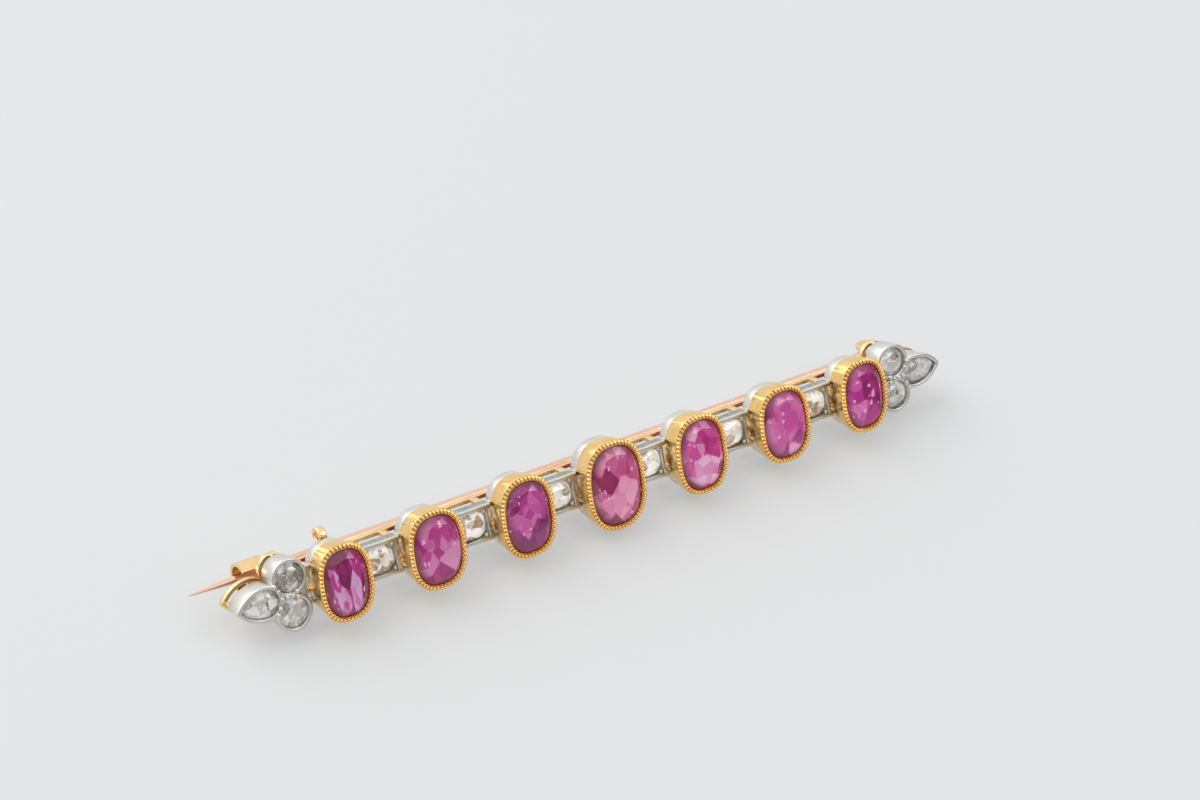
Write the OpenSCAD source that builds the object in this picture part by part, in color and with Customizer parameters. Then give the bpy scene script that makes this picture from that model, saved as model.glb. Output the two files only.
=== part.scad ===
// Bar brooch: seven graduated red stones in gold collets, small white boxes with a diamond
// between them, a cluster of three diamonds at both ends, and a gold back with a pin.
// It rests on the back of the middle ring and on the gold frames behind both clusters. X runs along
// the bar, the face looks to -Y and leans back, and Z is up from the table. Each piece is drawn in its own
// place on the brooch first: x along the bar, y across it, z out of the face, with the rims at z = 0.

/* [Row of rubies] */
// Height of the middle ruby inside its rim
ruby_h = 5.8; // [5.4:0.1:6.2]
// Width of the middle ruby inside its rim
ruby_w = 4.05; // [3.7:0.05:4.4]
// Distance between neighbouring rubies, centre to centre
ruby_pitch = 7.25; // [6.9:0.05:7.8]
// Squareness of the rubies, where 2 is an oval
ruby_square = 2.6; // [2.2:0.1:3.2]
// Height of a ruby's crown over its girdle
ruby_crown = 0.5; // [0.35:0.05:0.7]
// Thickness of a ruby's girdle
ruby_girdle = 0.12; // [0.08:0.02:0.2]
// Depth of the middle ruby under its girdle
ruby_pavilion = 1.7; // [1.3:0.1:2]
// Slope of the crown facets of every stone
crown_angle = 38; // [30:1:44]

/* [Gold collets] */
// Width of the gold rim round each ruby
rim_w = 0.36; // [0.3:0.02:0.46]
// How far the rim covers the edge of the ruby
lip_cover = 0.1; // [0.06:0.02:0.16]
// Thickness of the lip that holds the ruby down
lip_t = 0.14; // [0.1:0.02:0.2]
// Depth of the slope on the rim's outer edge
rim_slope = 0.2; // [0.1:0.05:0.3]
// Depth of the wide front part of a collet
collet_d = 1.8; // [1.7:0.05:2]
// Thickness of the tail's wall
collet_wall = 0.3; // [0.2:0.02:0.36]
// How far the seat reaches under the ruby
ruby_seat = 0.18; // [0.12:0.02:0.26]
// Inward slope of the collet's wall
wall_slope = 7; // [5:0.5:9]
// Play between a stone and its setting
stone_gap = 0.04; // [0.02:0.01:0.06]
// Thin line between two pieces that are seated on each other
seam = 0.03; // [0.02:0.01:0.05]

/* [White mount] */
// Depth of the white ring behind a collet
ring_d = 0.95; // [0.85:0.05:1.1]
// Thickness of the ring's wall
ring_wall = 0.2; // [0.16:0.02:0.26]
// Height of the diamond boxes
box_h = 2.65; // [2.4:0.05:3]
// Depth of the boxes' front edge behind the rims
box_front = 1.6; // [1.45:0.05:1.65]
// Depth of a box from front to back
box_d = 0.95; // [0.85:0.05:1.05]
// Thickness of a box's top and bottom plate
plate_t = 0.3; // [0.22:0.02:0.4]
// How far a plate reaches in past the ring's side, to meet its rounded corner
plate_reach = 0.28; // [0.24:0.02:0.34]
// Groove between a ring and the box's cross wall
groove_w = 0.28; // [0.2:0.02:0.36]
// Thickness of a cross wall
cross_t = 0.16; // [0.12:0.02:0.22]
// Depth of the diamonds' edge behind the front of their box or cluster
diamond_sink = 0.28; // [0.2:0.02:0.36]
// Play round the diamond in its box
box_play = 0.08; // [0.05:0.01:0.12]
// How far each seat reaches under its diamond
diamond_seat = 0.2; // [0.14:0.02:0.26]
// Height of a diamond's crown over its girdle
diamond_crown = 0.3; // [0.2:0.05:0.4]
// Depth of a diamond under its girdle
diamond_pavilion = 0.75; // [0.6:0.05:0.9]
// Squareness of the box diamonds, where 2 is round
diamond_square = 3; // [2.2:0.1:3.6]
// Thickness of a diamond's girdle
diamond_girdle = 0.06; // [0.04:0.01:0.1]

/* [End clusters] */
// Radius of the round diamonds
round_r = 1.04; // [0.9:0.02:1.1]
// Height of each round diamond above or below the bar's middle line
round_spread = 1.27; // [1.2:0.01:1.3]
// Width of the white rim round the cluster's stones
cluster_rim = 0.28; // [0.22:0.02:0.34]
// Gap between the last gold rim and the round settings
cluster_gap = 0.18; // [0.12:0.02:0.26]
// Radius of the pear diamond's round end
pear_r = 0.96; // [0.86:0.02:1.04]
// Distance from the pear's round end to its point
pear_reach = 1.85; // [1.6:0.05:2.1]
// Distance along the bar from the round diamonds to the pear
pear_step = 1.95; // [1.8:0.05:2.05]
// Depth of the cluster's front edge behind the rims
cluster_front = 1.2; // [1:0.05:1.35]
// Depth of the cluster's settings from front to back
cluster_d = 1.7; // [1.5:0.05:1.9]
// Inward slope of the cluster's walls
cluster_slope = 4; // [2:0.5:6]
// Thickness of the two links from the last ring to the cluster
link_t = 0.32; // [0.24:0.02:0.4]

/* [Gold back] */
// Depth of the gold gallery's front behind the rims
gallery_front = 3.55; // [3.4:0.05:3.8]
// Thickness of the gallery from front to back
gallery_t = 0.42; // [0.36:0.02:0.5]
// Width of the gallery's bars
bar_w = 0.32; // [0.26:0.02:0.4]
// Height over both bars of the gallery
gallery_h = 2.6; // [2.4:0.1:2.8]
// Width of the small struts under the boxes
strut_w = 0.56; // [0.4:0.02:0.64]
// How far the rings of a cluster's frame lie inside the settings' back edges
frame_in = 0.12; // [0.04:0.02:0.2]
// Radius of the posts under the clusters
post_r = 0.14; // [0.1:0.01:0.15]
// Thickness of the plates that carry the hinge and the catch
foot_t = 0.3; // [0.24:0.02:0.4]
// How deep a foot is let into the gallery
foot_sink = 0.05; // [0.03:0.01:0.1]

/* [Pin] */
// Radius of the pin's wire
stem_r = 0.325; // [0.28:0.005:0.36]
// Depth of the pin's centre line behind the rims
stem_depth = 5.5; // [5.4:0.05:5.8]
// Height of the pin above the bar's middle line
stem_y = 0.6; // [0.4:0.05:0.8]
// Radius of the tapered root at the hinge's centre
root_r = 0.5; // [0.46:0.02:0.54]
// Length of that root, from the hinge's centre
root_l = 1.8; // [1.5:0.1:2.4]
// How far the pin's point stands out past the pear's setting
point_past = 1.3; // [0.8:0.1:1.8]
// Length of the sharp point
point_l = 3.4; // [2.5:0.1:4]
// Radius of the pin where the point starts
point_start_r = 0.28; // [0.24:0.02:0.3]
// Distance along the bar from the catch to where the wire begins to thin
thinning_start = 0.4; // [0.2:0.1:0.8]
// Radius at the very tip
tip_r = 0.04; // [0.03:0.01:0.08]

/* [Hinge] */
// Distance of the hinge past the round diamonds, along the bar
hinge_past = 0.8; // [0.5:0.05:1]
// Radius of the pin's knuckle
knuckle_r = 0.62; // [0.55:0.01:0.7]
// Length of the knuckle
knuckle_l = 1.1; // [0.9:0.05:1.3]
// Gap on each side of the knuckle
knuckle_gap = 0.05; // [0.03:0.01:0.08]
// Thickness of each ear
ear_t = 0.34; // [0.3:0.02:0.4]
// Radius of the ears
ear_r = 0.78; // [0.72:0.01:0.85]
// Radius of the rivet
rivet_r = 0.25; // [0.2:0.01:0.3]
// Play between the rivet and the knuckle
rivet_play = 0.03; // [0.02:0.01:0.05]
// Radius of the rivet's heads
rivet_head_r = 0.42; // [0.36:0.02:0.5]
// Thickness of the rivet's heads
rivet_head_t = 0.12; // [0.08:0.01:0.18]

/* [Catch and safety loop] */
// Outer radius of the C-shaped catch
catch_r = 1.2; // [1.1:0.05:1.3]
// Thickness of the catch's strip
catch_t = 0.26; // [0.22:0.02:0.32]
// Length of the catch along the bar
catch_l = 1.8; // [1.5:0.1:2]
// Distance of the catch's centre past the round diamonds, along the bar
catch_past = 0.95; // [0.8:0.05:1.1]
// Depth of the pin behind the catch's centre
catch_offset = 0.3; // [0.2:0.02:0.34]
// Angle of the catch's lip above the straight way in
lip_angle = 42; // [30:1:60]
// Radius of the hole in the safety loop
loop_hole_r = 0.3; // [0.26:0.02:0.36]
// Width of the loop's ring
loop_w = 0.32; // [0.26:0.02:0.38]
// Thickness of the loop's ring along the bar
loop_t = 0.6; // [0.4:0.05:0.7]
// Length of the neck between the gallery and the loop
loop_neck = 0.45; // [0.3:0.05:0.6]
// Place of the loop along the bar, inward from the first ruby's centre
loop_in = 0.3; // [0.1:0.05:0.6]

/* [Hidden] */
$fn = 48;
// Sides of the swept cushion and pear outlines
sides = 32;
// Main facets round a ruby and round a diamond
ruby_mains = 12;
// How far soldered pieces reach into each other at least
weld = 0.02;
diamond_mains = 8;
// One row for each ruby from the middle out: its place in pitches, and its width and height
// as shares of the middle ruby's
PLACE = 0;
WIDTH = 1;
HEIGHT = 2;
RUBIES = [
    [0.00, 1.00, 1.00],
    [1.00, 0.88, 0.89],
    [2.00, 0.90, 0.86],
    [2.98, 0.82, 0.83],
];
last = len(RUBIES) - 1;
ruby_nodes = [for (i = [-last:last]) str("ruby_", i + last + 1)];
collet_nodes = [for (i = [-last:last]) str("collet_", i + last + 1)];
box_nodes = [for (i = [-last:last - 1]) str("box_diamond_", i + last + 1)];
cluster_nodes = ["upper_left_diamond", "lower_left_diamond", "left_pear_diamond",
    "upper_right_diamond", "lower_right_diamond", "right_pear_diamond"];

// Outlines are functions of a turn a in degrees and of how far the edge is moved out.
// Pear with its point towards +x: two wide arcs that meet there, and a round end. The arcs'
// centres lie side_drop beyond the middle line.
side_drop = (pear_reach * pear_reach - pear_r * pear_r) / (2 * pear_r);
function side_r(off) = pear_r + side_drop + off;
function half_pear(a, off) = let (point_turn = asin(side_drop / side_r(off)))
    a >= 90 ? (pear_r + off) * [cos(a), sin(a)]
    : let (b = point_turn + (90 - point_turn) * a / 90)
        [side_r(off) * cos(b), side_r(off) * sin(b) - side_drop];
pear = function (a, off) let (p = half_pear(min(a, 360 - a), off)) [p[0], a > 180 ? -p[1] : p[1]];

// Places along the bar and behind the face
function ruby_x(i) = sign(i) * RUBIES[abs(i)][PLACE] * ruby_pitch;
function stone_w(i) = RUBIES[abs(i)][WIDTH] * ruby_w;
function stone_h(i) = RUBIES[abs(i)][HEIGHT] * ruby_h;
// How far the collet's outer wall has drawn in at a depth behind the rim
function drawn_in(depth) = max(0, depth - rim_slope) * tan(wall_slope);
function wall_half_w(i, depth) = stone_w(i) / 2 + rim_w - drawn_in(depth);
// Where the tail's outside lies at a depth, measured from the inside edge of the rim
function tail_off(depth) = rim_w - drawn_in(depth) - ring_wall - seam;
girdle_top = lip_t + lip_cover * tan(crown_angle) + stone_gap;
girdle_low = girdle_top + ruby_girdle;
ring_front = collet_d + seam;
ring_back = ring_front + ring_d;
box_back = box_front + box_d;
tail_back = box_back - seam;
window_h = box_h - 2 * plate_t;
cluster_back = cluster_front + cluster_d;
gallery_back = gallery_front + gallery_t;
round_out = round_r + stone_gap + cluster_rim;
round_x = ruby_x(last) + wall_half_w(last, 0) + cluster_gap + round_out;
pear_x = round_x + pear_step;
pear_tip_x = pear_x + pear(0, stone_gap + cluster_rim)[0];
hinge_x = round_x + hinge_past;
ear_in = knuckle_l / 2 + knuckle_gap;
ear_out = ear_in + ear_t;
catch_depth = stem_depth - catch_offset;
catch_x = -(round_x + catch_past);
point_x = -(pear_tip_x + point_past);
stem_end_x = catch_x + catch_l / 2 + thinning_start;
loop_x = ruby_x(-last) + loop_in;
loop_y = gallery_h / 2 + loop_neck + loop_w + loop_hole_r;

// Where the brooch rests: it leans back until the frames behind the clusters and the back edge
// of the middle ring stand on the table
frame_out = round_out - cluster_d * tan(cluster_slope) - frame_in;
function low_edge(off) = cushion(ruby_w, ruby_h)(90 - 180 / sides, off)[1];
ring_low = low_edge(rim_w - drawn_in(ring_back));
lean = atan2(ring_low - round_spread - frame_out, gallery_back - ring_back);
foot_h = ring_low * cos(lean) + ring_back * sin(lean);
// Its foremost place is the lower rim or a stone's table, its rearmost the catch or the upper ear
table_z = ruby_crown - girdle_top;
front_y = min(-low_edge(rim_w / 2) * sin(lean), -table_z * cos(lean) - ruby_h / 3 * sin(lean));
back_y = max(
    catch_depth * cos(lean) + stem_y * sin(lean) + catch_r,
    stem_depth * cos(lean) + (stem_y + ear_out) * sin(lean) + ear_r);
middle_x = (pear_tip_x + point_x) / 2;
module stand() {
    translate([-middle_x, -(front_y + back_y) / 2, foot_h]) rotate([90 - lean, 0, 0]) children();
}

function cushion(w, h, square = ruby_square) = function (a, off) [
    (w / 2 + off) * sign(cos(a)) * pow(abs(cos(a)), 2 / square),
    (h / 2 + off) * sign(sin(a)) * pow(abs(sin(a)), 2 / square)];
// One closed loop of points round an outline, at height z
function loop(outline, off, z, n = sides) = [
    for (k = [0:n - 1]) let (p = outline(360 * k / n, off)) [p[0], p[1], z]];

// One loop round ruby i, with a short flat edge at its top, bottom and sides
function collet_loop(i, off, z) = let (outline = cushion(stone_w(i), stone_h(i)))
    [for (k = [0:sides - 1]) let (p = outline(360 * (k + 0.5) / sides, off)) [p[0], p[1], z]];

// Closed band whose cross section is a loop of outlines, listed from the outer front edge
// over the front to the inside and round the back
module band(loops) {
    m = len(loops);
    n = len(loops[0]);
    polyhedron(
        points = [for (l = loops) each l],
        faces = [for (j = [0:m - 1], k = [0:n - 1]) let (
            a = j * n + k,
            b = j * n + (k + 1) % n,
            c = (j + 1) % m * n + (k + 1) % n,
            d = (j + 1) % m * n + k) each [[a, d, c], [a, c, b]]]);
}

// Cut stone with its girdle's top at z = 0. The table's corners t, the crown's corners m, the
// girdle's corners g and the pavilion's corners p are joined by stars, kites and breaks.
module cut_stone(outline, middle, crown, girdle, pavilion, mains) {
    n = mains;
    inset = crown / tan(crown_angle);
    // Where the stars end on the crown and the breaks end on the pavilion, as shares of depth
    star_end = 0.5;
    break_end = 0.6;
    t = [for (k = [0:n - 1]) k];
    m = [for (k = [0:n - 1]) n + k];
    g = [for (k = [0:2 * n - 1]) 2 * n + k];
    low = [for (k = [0:2 * n - 1]) 4 * n + k];
    p = [for (k = [0:n - 1]) 6 * n + k];
    tip = 7 * n;
    polyhedron(
        points = concat(
            loop(outline, -inset, crown, n),
            [for (k = [0:n - 1]) let (q = outline(360 * (k + 0.5) / n, -0.92 * star_end * inset))
                [q[0], q[1], crown * (1 - star_end)]],
            loop(outline, 0, 0, 2 * n),
            loop(outline, 0, -girdle, 2 * n),
            [for (k = [0:n - 1]) let (q = outline(360 * (k + 0.5) / n, 0))
                [each middle + (q - middle) * (1.06 - break_end), -girdle - pavilion * break_end]],
            [[each middle, -girdle - pavilion]]),
        faces = concat(
            [[for (k = [n - 1:-1:0]) t[k]]],
            [for (k = [0:n - 1])
                let (next = (k + 1) % n, before = (k + n - 1) % n, end = (2 * k + 2) % (2 * n)) each [
                    [t[k], t[next], m[k]],
                    [t[k], m[k], g[2 * k]],
                    [t[k], g[2 * k], m[before]],
                    [m[k], g[2 * k + 1], g[2 * k]],
                    [m[k], g[end], g[2 * k + 1]],
                    [g[2 * k], g[2 * k + 1], low[2 * k + 1]],
                    [g[2 * k], low[2 * k + 1], low[2 * k]],
                    [g[2 * k + 1], g[end], low[end]],
                    [g[2 * k + 1], low[end], low[2 * k + 1]],
                    [p[k], low[2 * k], low[2 * k + 1]],
                    [p[k], low[2 * k + 1], low[end]],
                    [tip, p[before], low[2 * k]],
                    [tip, low[2 * k], p[k]]]]));
}

module ruby(i) {
    w = stone_w(i) + 2 * lip_cover;
    h = stone_h(i) + 2 * lip_cover;
    pavilion = ruby_pavilion * RUBIES[abs(i)][WIDTH];
    color("#c2185b") stand() translate([ruby_x(i), 0, -girdle_top])
        cut_stone(cushion(w, h), [0, 0], ruby_crown, ruby_girdle, pavilion, ruby_mains);
}

// Room for the white ring round a collet's tail, which leaves a cheek in each of its windows
module ring_room(i) {
    past = tail_back + seam;
    cheek_h = window_h - 2 * seam;
    difference() {
        band([
            collet_loop(i, 2 * rim_w, -collet_d),
            collet_loop(i, tail_off(collet_d), -collet_d),
            collet_loop(i, tail_off(past), -past),
            collet_loop(i, 2 * rim_w, -past)]);
        translate([-stone_w(i), -cheek_h / 2, -past]) cube([2 * stone_w(i), cheek_h, past]);
    }
}

module collet(i) {
    bore = lip_cover + stone_gap;
    seat = lip_cover - ruby_seat;
    color("#dba63c") stand() translate([ruby_x(i), 0, 0]) difference() {
        band([
            collet_loop(i, rim_w, -rim_slope),
            collet_loop(i, rim_w / 2, 0),
            collet_loop(i, rim_w / 8, 0),
            collet_loop(i, 0, -lip_t),
            collet_loop(i, bore, stone_gap - girdle_top),
            collet_loop(i, bore, -girdle_low - stone_gap),
            collet_loop(i, seat, -girdle_low - stone_gap - ruby_seat),
            collet_loop(i, tail_off(tail_back) - collet_wall, -tail_back),
            collet_loop(i, rim_w - drawn_in(tail_back), -tail_back)]);
        ring_room(i);
    }
}

// White mount: a ring round each collet's tail, boxes between them and the two end clusters.
// The ring has a window on both sides between the plates, where the tail shows.
module ring(i) {
    front_out = rim_w - drawn_in(ring_front);
    back_out = rim_w - drawn_in(ring_back);
    translate([ruby_x(i), 0, 0]) difference() {
        band([
            collet_loop(i, front_out, -ring_front),
            collet_loop(i, front_out - ring_wall, -ring_front),
            collet_loop(i, back_out - ring_wall, -ring_back),
            collet_loop(i, back_out, -ring_back)]);
        translate([-stone_w(i), -window_h / 2, -box_back])
            cube([2 * stone_w(i), window_h, box_back]);
    }
}

// Solid between a lower and an upper loop
module plug(low, high) {
    n = len(low);
    polyhedron(
        points = concat(low, high),
        faces = concat(
            [[for (k = [0:n - 1]) k], [for (k = [n - 1:-1:0]) n + k]],
            [for (k = [0:n - 1]) let (next = (k + 1) % n)
                each [[k, n + k, n + next], [k, n + next, next]]]));
}

// Room for a collet's tail in all that is soldered to its ring
module tail_room(i) {
    room_back = tail_back + seam;
    translate([ruby_x(i), 0, 0]) plug(
        collet_loop(i, tail_off(room_back) + seam + weld, -room_back),
        collet_loop(i, tail_off(ring_front - seam) + seam + weld, seam - ring_front));
}

// The box between ruby i and the next one: where it starts and ends along the bar
function box_from(i) = ruby_x(i) + wall_half_w(i, box_front);
function box_to(i) = ruby_x(i + 1) - wall_half_w(i + 1, box_front);
function box_mid(i) = (box_from(i) + box_to(i)) / 2;
function box_room(i) = box_to(i) - box_from(i) - 2 * (groove_w + cross_t);
box_stone_h = box_h - 2 * plate_t - 2 * box_play;
function box_stone_w(i) = box_room(i) - 2 * box_play;

// Half width at which the plates end inside the ring's wall
function into_ring(i) = wall_half_w(i, box_back) - plate_reach;

// Half width of a collet's wall at the height of the boxes' plates, with a seam round it
function past_collet(i) = wall_half_w(i, box_front) + seam;

module box(i) {
    from = ruby_x(i) + into_ring(i);
    to = ruby_x(i + 1) - into_ring(i + 1);
    front_from = ruby_x(i) + past_collet(i);
    front_to = ruby_x(i + 1) - past_collet(i + 1);
    seat_front = box_front + diamond_sink + diamond_girdle + diamond_seat + seam;
    edge = cushion(box_stone_w(i), box_stone_h, diamond_square);
    for (side = [-1, 1]) translate([0, side * (box_h - plate_t) / 2 - plate_t / 2, -box_back]) {
        translate([from, 0, 0]) cube([to - from, plate_t, box_back - ring_front]);
        translate([front_from, 0, 0]) cube([front_to - front_from, plate_t, box_d]);
    }
    difference() {
        translate([box_mid(i) - box_room(i) / 2 - cross_t, -box_h / 2, -box_back])
            cube([box_room(i) + 2 * cross_t, box_h, box_d]);
        translate([box_mid(i) - box_room(i) / 2, plate_t - box_h / 2, -seat_front])
            cube([box_room(i), box_h - 2 * plate_t, box_back]);
        translate([box_mid(i), 0, -box_back - 1]) linear_extrude(box_back)
            polygon([for (k = [0:sides - 1]) edge(360 * k / sides, -diamond_seat)]);
    }
}

module round_setting() {
    depth = diamond_sink + diamond_girdle + diamond_seat;
    back_r = round_out - cluster_d * tan(cluster_slope);
    difference() {
        translate([0, 0, -cluster_back]) cylinder(r1 = back_r, r2 = round_out, h = cluster_d);
        translate([0, 0, -cluster_front - depth]) cylinder(r = round_r + stone_gap, h = depth + 1);
        translate([0, 0, -cluster_back - 1]) cylinder(r = round_r - diamond_seat, h = cluster_d + 1);
    }
}

module pear_setting() {
    front = cluster_rim + stone_gap;
    back = front - cluster_d * tan(cluster_slope);
    depth = cluster_front + diamond_sink + diamond_girdle + diamond_seat;
    band([
        loop(pear, front, -cluster_front),
        loop(pear, stone_gap, -cluster_front),
        loop(pear, stone_gap, -depth),
        loop(pear, -diamond_seat, -depth),
        loop(pear, -diamond_seat, -cluster_back),
        loop(pear, back, -cluster_back)]);
}

// End cluster towards +x
module cluster() {
    for (side = [-1, 1]) translate([round_x, side * round_spread, 0]) round_setting();
    translate([pear_x, 0, 0]) pear_setting();
    from = ruby_x(last) + into_ring(last);
    to = round_x - round_r - stone_gap - cluster_rim / 2;
    for (side = [-1, 1])
        translate([from, side * round_spread - link_t / 2, -box_back])
            cube([to - from, link_t, box_back - ring_front]);
    translate([round_x - round_out - cross_t / 2, -round_spread, -box_back])
        cube([cross_t, 2 * round_spread, box_back - ring_front]);
}

module white_mount() {
    color("#c8ccd0") stand() {
        for (i = [-last:last]) ring(i);
        difference() {
            union() {
                for (i = [-last:last - 1]) box(i);
                cluster();
                mirror([1, 0, 0]) cluster();
            }
            for (i = [-last:last]) tail_room(i);
        }
    }
}

// Diamonds
module box_diamond(i) {
    w = box_stone_w(i);
    color("#dfe8ee") stand() translate([box_mid(i), 0, -box_front - diamond_sink])
        cut_stone(cushion(w, box_stone_h, diamond_square), [0, 0],
            diamond_crown, diamond_girdle, diamond_pavilion, diamond_mains);
}

module round_diamond(side, up) {
    d = 2 * round_r;
    color("#dfe8ee") stand()
        translate([side * round_x, up * round_spread, -cluster_front - diamond_sink])
            cut_stone(cushion(d, d, 2), [0, 0],
                diamond_crown, diamond_girdle, diamond_pavilion, diamond_mains);
}

module pear_diamond(side) {
    color("#dfe8ee") stand() translate([side * pear_x, 0, -cluster_front - diamond_sink])
        mirror([side < 0 ? 1 : 0, 0, 0])
            cut_stone(pear, [pear_r / 3, 0],
                diamond_crown, diamond_girdle, diamond_pavilion, diamond_mains);
}

// Gold back: two bars with struts, a frame behind each cluster, hinge ears and catch
module gallery_bars() {
    for (side = [-1, 1])
        translate([-round_x + round_out / 2, side * (gallery_h - bar_w) / 2 - bar_w / 2, -gallery_back])
            cube([2 * round_x - round_out, bar_w, gallery_t]);
}

module struts() {
    for (i = [-last:last - 1], end = [-1, 1], side = [-1, 1])
        translate([
            box_mid(i) + end * (box_room(i) + cross_t) / 2 - strut_w / 2,
            side * (gallery_h - bar_w) / 2 - bar_w / 2,
            -gallery_front])
            cube([strut_w, bar_w, gallery_front - box_back - seam]);
}

// Frame behind the cluster at +x: one flat ring behind each stone, and three posts
module cluster_frame() {
    for (side = [-1, 1]) translate([round_x, side * round_spread, -gallery_back]) difference() {
        cylinder(r = frame_out, h = gallery_t);
        translate([0, 0, -1]) cylinder(r = frame_out - bar_w, h = gallery_t + 2);
    }
    translate([pear_x, 0, 0]) band([
        loop(pear, cluster_rim, -gallery_front),
        loop(pear, cluster_rim - bar_w, -gallery_front),
        loop(pear, cluster_rim - bar_w, -gallery_back),
        loop(pear, cluster_rim, -gallery_back)]);
    post_h = gallery_front + gallery_t / 2 - cluster_back - seam;
    translate([0, 0, -cluster_back - seam - post_h]) {
        for (side = [-1, 1]) translate([round_x, side * (round_spread + frame_out - bar_w / 2), 0])
            cylinder(r = post_r, h = post_h);
        translate([pear_x + pear(0, cluster_rim - bar_w)[0], 0, 0]) cylinder(r = post_r, h = post_h);
    }
}

// Two ears on a foot for the pin's knuckle
module hinge_ears() {
    foot_z = -gallery_back + foot_sink - foot_t;
    translate([hinge_x - ear_r, stem_y - ear_out, foot_z]) cube([2 * ear_r, 2 * ear_out, foot_t]);
    for (side = [-1, 1]) translate([hinge_x, stem_y + side * (ear_in + ear_t / 2), 0])
        difference() {
            union() {
                translate([0, ear_t / 2, -stem_depth]) rotate([90, 0, 0])
                    cylinder(r = ear_r, h = ear_t);
                translate([-ear_r, -ear_t / 2, -stem_depth])
                    cube([2 * ear_r, ear_t, stem_depth + foot_z + foot_t / 2]);
            }
            translate([0, ear_t, -stem_depth]) rotate([90, 0, 0])
                cylinder(r = rivet_r + rivet_play / 2, h = 2 * ear_t);
        }
}

// C-shaped catch: a strip that rises behind the bar under the pin, curls round behind it and
// ends in a lip above it, drawn as depth and height and run along the bar
module catch_hook() {
    lip = 180 - lip_angle;
    far = 2 * catch_r;
    foot = gallery_back - foot_sink;
    translate([catch_x - catch_l / 2, 0, 0]) rotate([0, 90, 0]) linear_extrude(catch_l) {
        translate([catch_depth, stem_y]) difference() {
            circle(catch_r);
            circle(catch_r - catch_t);
            polygon([[0, 0], far * [cos(lip), sin(lip)], far * [-1, 0], far * [-1, -1], [0, -far]]);
        }
        translate([foot, stem_y - catch_r]) square([catch_depth - foot, catch_t]);
        translate([foot, stem_y - catch_r]) square([foot_t, catch_r + catch_t]);
    }
}

module gold_back() {
    color("#d9a441") stand() {
        gallery_bars();
        struts();
        cluster_frame();
        mirror([1, 0, 0]) cluster_frame();
        hinge_ears();
        catch_hook();
    }
}

// Eye on a short neck that stands on the gallery's upper bar, with its hole along the bar
module safety_loop() {
    foot_y = gallery_h / 2 + seam;
    color("#d9a441") stand()
        translate([loop_x - loop_t / 2, 0, -gallery_front - gallery_t / 2]) difference() {
            union() {
                translate([0, loop_y, 0]) rotate([0, 90, 0])
                    cylinder(r = loop_hole_r + loop_w, h = loop_t);
                translate([0, foot_y, -gallery_t / 2]) cube([loop_t, loop_y - foot_y, gallery_t]);
            }
            translate([-1, loop_y, 0]) rotate([0, 90, 0]) cylinder(r = loop_hole_r, h = loop_t + 2);
        }
}

// Pin: a knuckle on the rivet, and a tapered root, the wire and a long sharp point, turned as one
module pin_stem() {
    color("#c98f6b") stand() translate([0, stem_y, -stem_depth]) difference() {
        union() {
            translate([hinge_x, knuckle_l / 2, 0]) rotate([90, 0, 0]) cylinder(r = knuckle_r, h = knuckle_l);
            rotate([0, 90, 0]) rotate_extrude() polygon([
                [0, point_x],
                [tip_r, point_x],
                [point_start_r, point_x + point_l],
                [stem_r, stem_end_x],
                [stem_r, hinge_x - root_l],
                [root_r, hinge_x],
                [0, hinge_x]]);
        }
        translate([hinge_x, knuckle_l, 0]) rotate([90, 0, 0])
            cylinder(r = rivet_r + rivet_play, h = 2 * knuckle_l);
    }
}

module hinge_rivet() {
    color("#d9a441") stand() translate([hinge_x, stem_y, -stem_depth]) rotate([90, 0, 0]) {
        translate([0, 0, -ear_out]) cylinder(r = rivet_r, h = 2 * ear_out);
        for (side = [-1, 1]) translate([0, 0, side * (ear_out + rivet_head_t / 2) - rivet_head_t / 2])
            cylinder(r = rivet_head_r, h = rivet_head_t);
    }
}

white_mount();
gold_back();
safety_loop();
pin_stem();
hinge_rivet();
for (i = [-last:last]) {
    collet(i);
    ruby(i);
}
for (i = [-last:last - 1])
    box_diamond(i);
round_diamond(-1, 1);  // upper_left_diamond
round_diamond(-1, -1);  // lower_left_diamond
pear_diamond(-1);  // left_pear_diamond
round_diamond(1, 1);  // upper_right_diamond
round_diamond(1, -1);  // lower_right_diamond
pear_diamond(1);  // right_pear_diamond
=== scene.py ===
"""Bar brooch: gold collets with beaded rims, a white mount with diamonds, a gold back and a pin.

The pieces are modelled in the brooch's own frame in millimetres: x along the bar, y across it,
z out of the face, with the rims at z = 0. settle() then stands each piece up in the frame of the
CAD model, which is in metres.
"""
import math

import bmesh
import bpy
from mathutils import Matrix, Vector


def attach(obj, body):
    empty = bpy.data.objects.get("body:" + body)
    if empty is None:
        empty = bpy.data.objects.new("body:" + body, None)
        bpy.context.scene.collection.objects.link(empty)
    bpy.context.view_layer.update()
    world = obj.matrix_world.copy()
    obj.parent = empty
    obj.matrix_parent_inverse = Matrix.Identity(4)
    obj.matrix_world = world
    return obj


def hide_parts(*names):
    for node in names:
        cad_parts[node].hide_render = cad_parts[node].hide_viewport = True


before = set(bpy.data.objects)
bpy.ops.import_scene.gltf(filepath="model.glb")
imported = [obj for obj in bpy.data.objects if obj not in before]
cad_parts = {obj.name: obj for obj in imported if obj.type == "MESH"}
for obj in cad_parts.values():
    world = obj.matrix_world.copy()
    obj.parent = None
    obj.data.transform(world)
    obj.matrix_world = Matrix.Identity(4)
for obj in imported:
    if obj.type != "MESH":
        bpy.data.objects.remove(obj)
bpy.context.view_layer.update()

MM = 0.001

# Row of rubies
RUBY_W, RUBY_H = 4.05, 5.8
PITCH = 7.25
RUBY_SQUARE = 2.6
CROWN, GIRDLE = 0.5, 0.12
CROWN_ANGLE = 38
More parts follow.
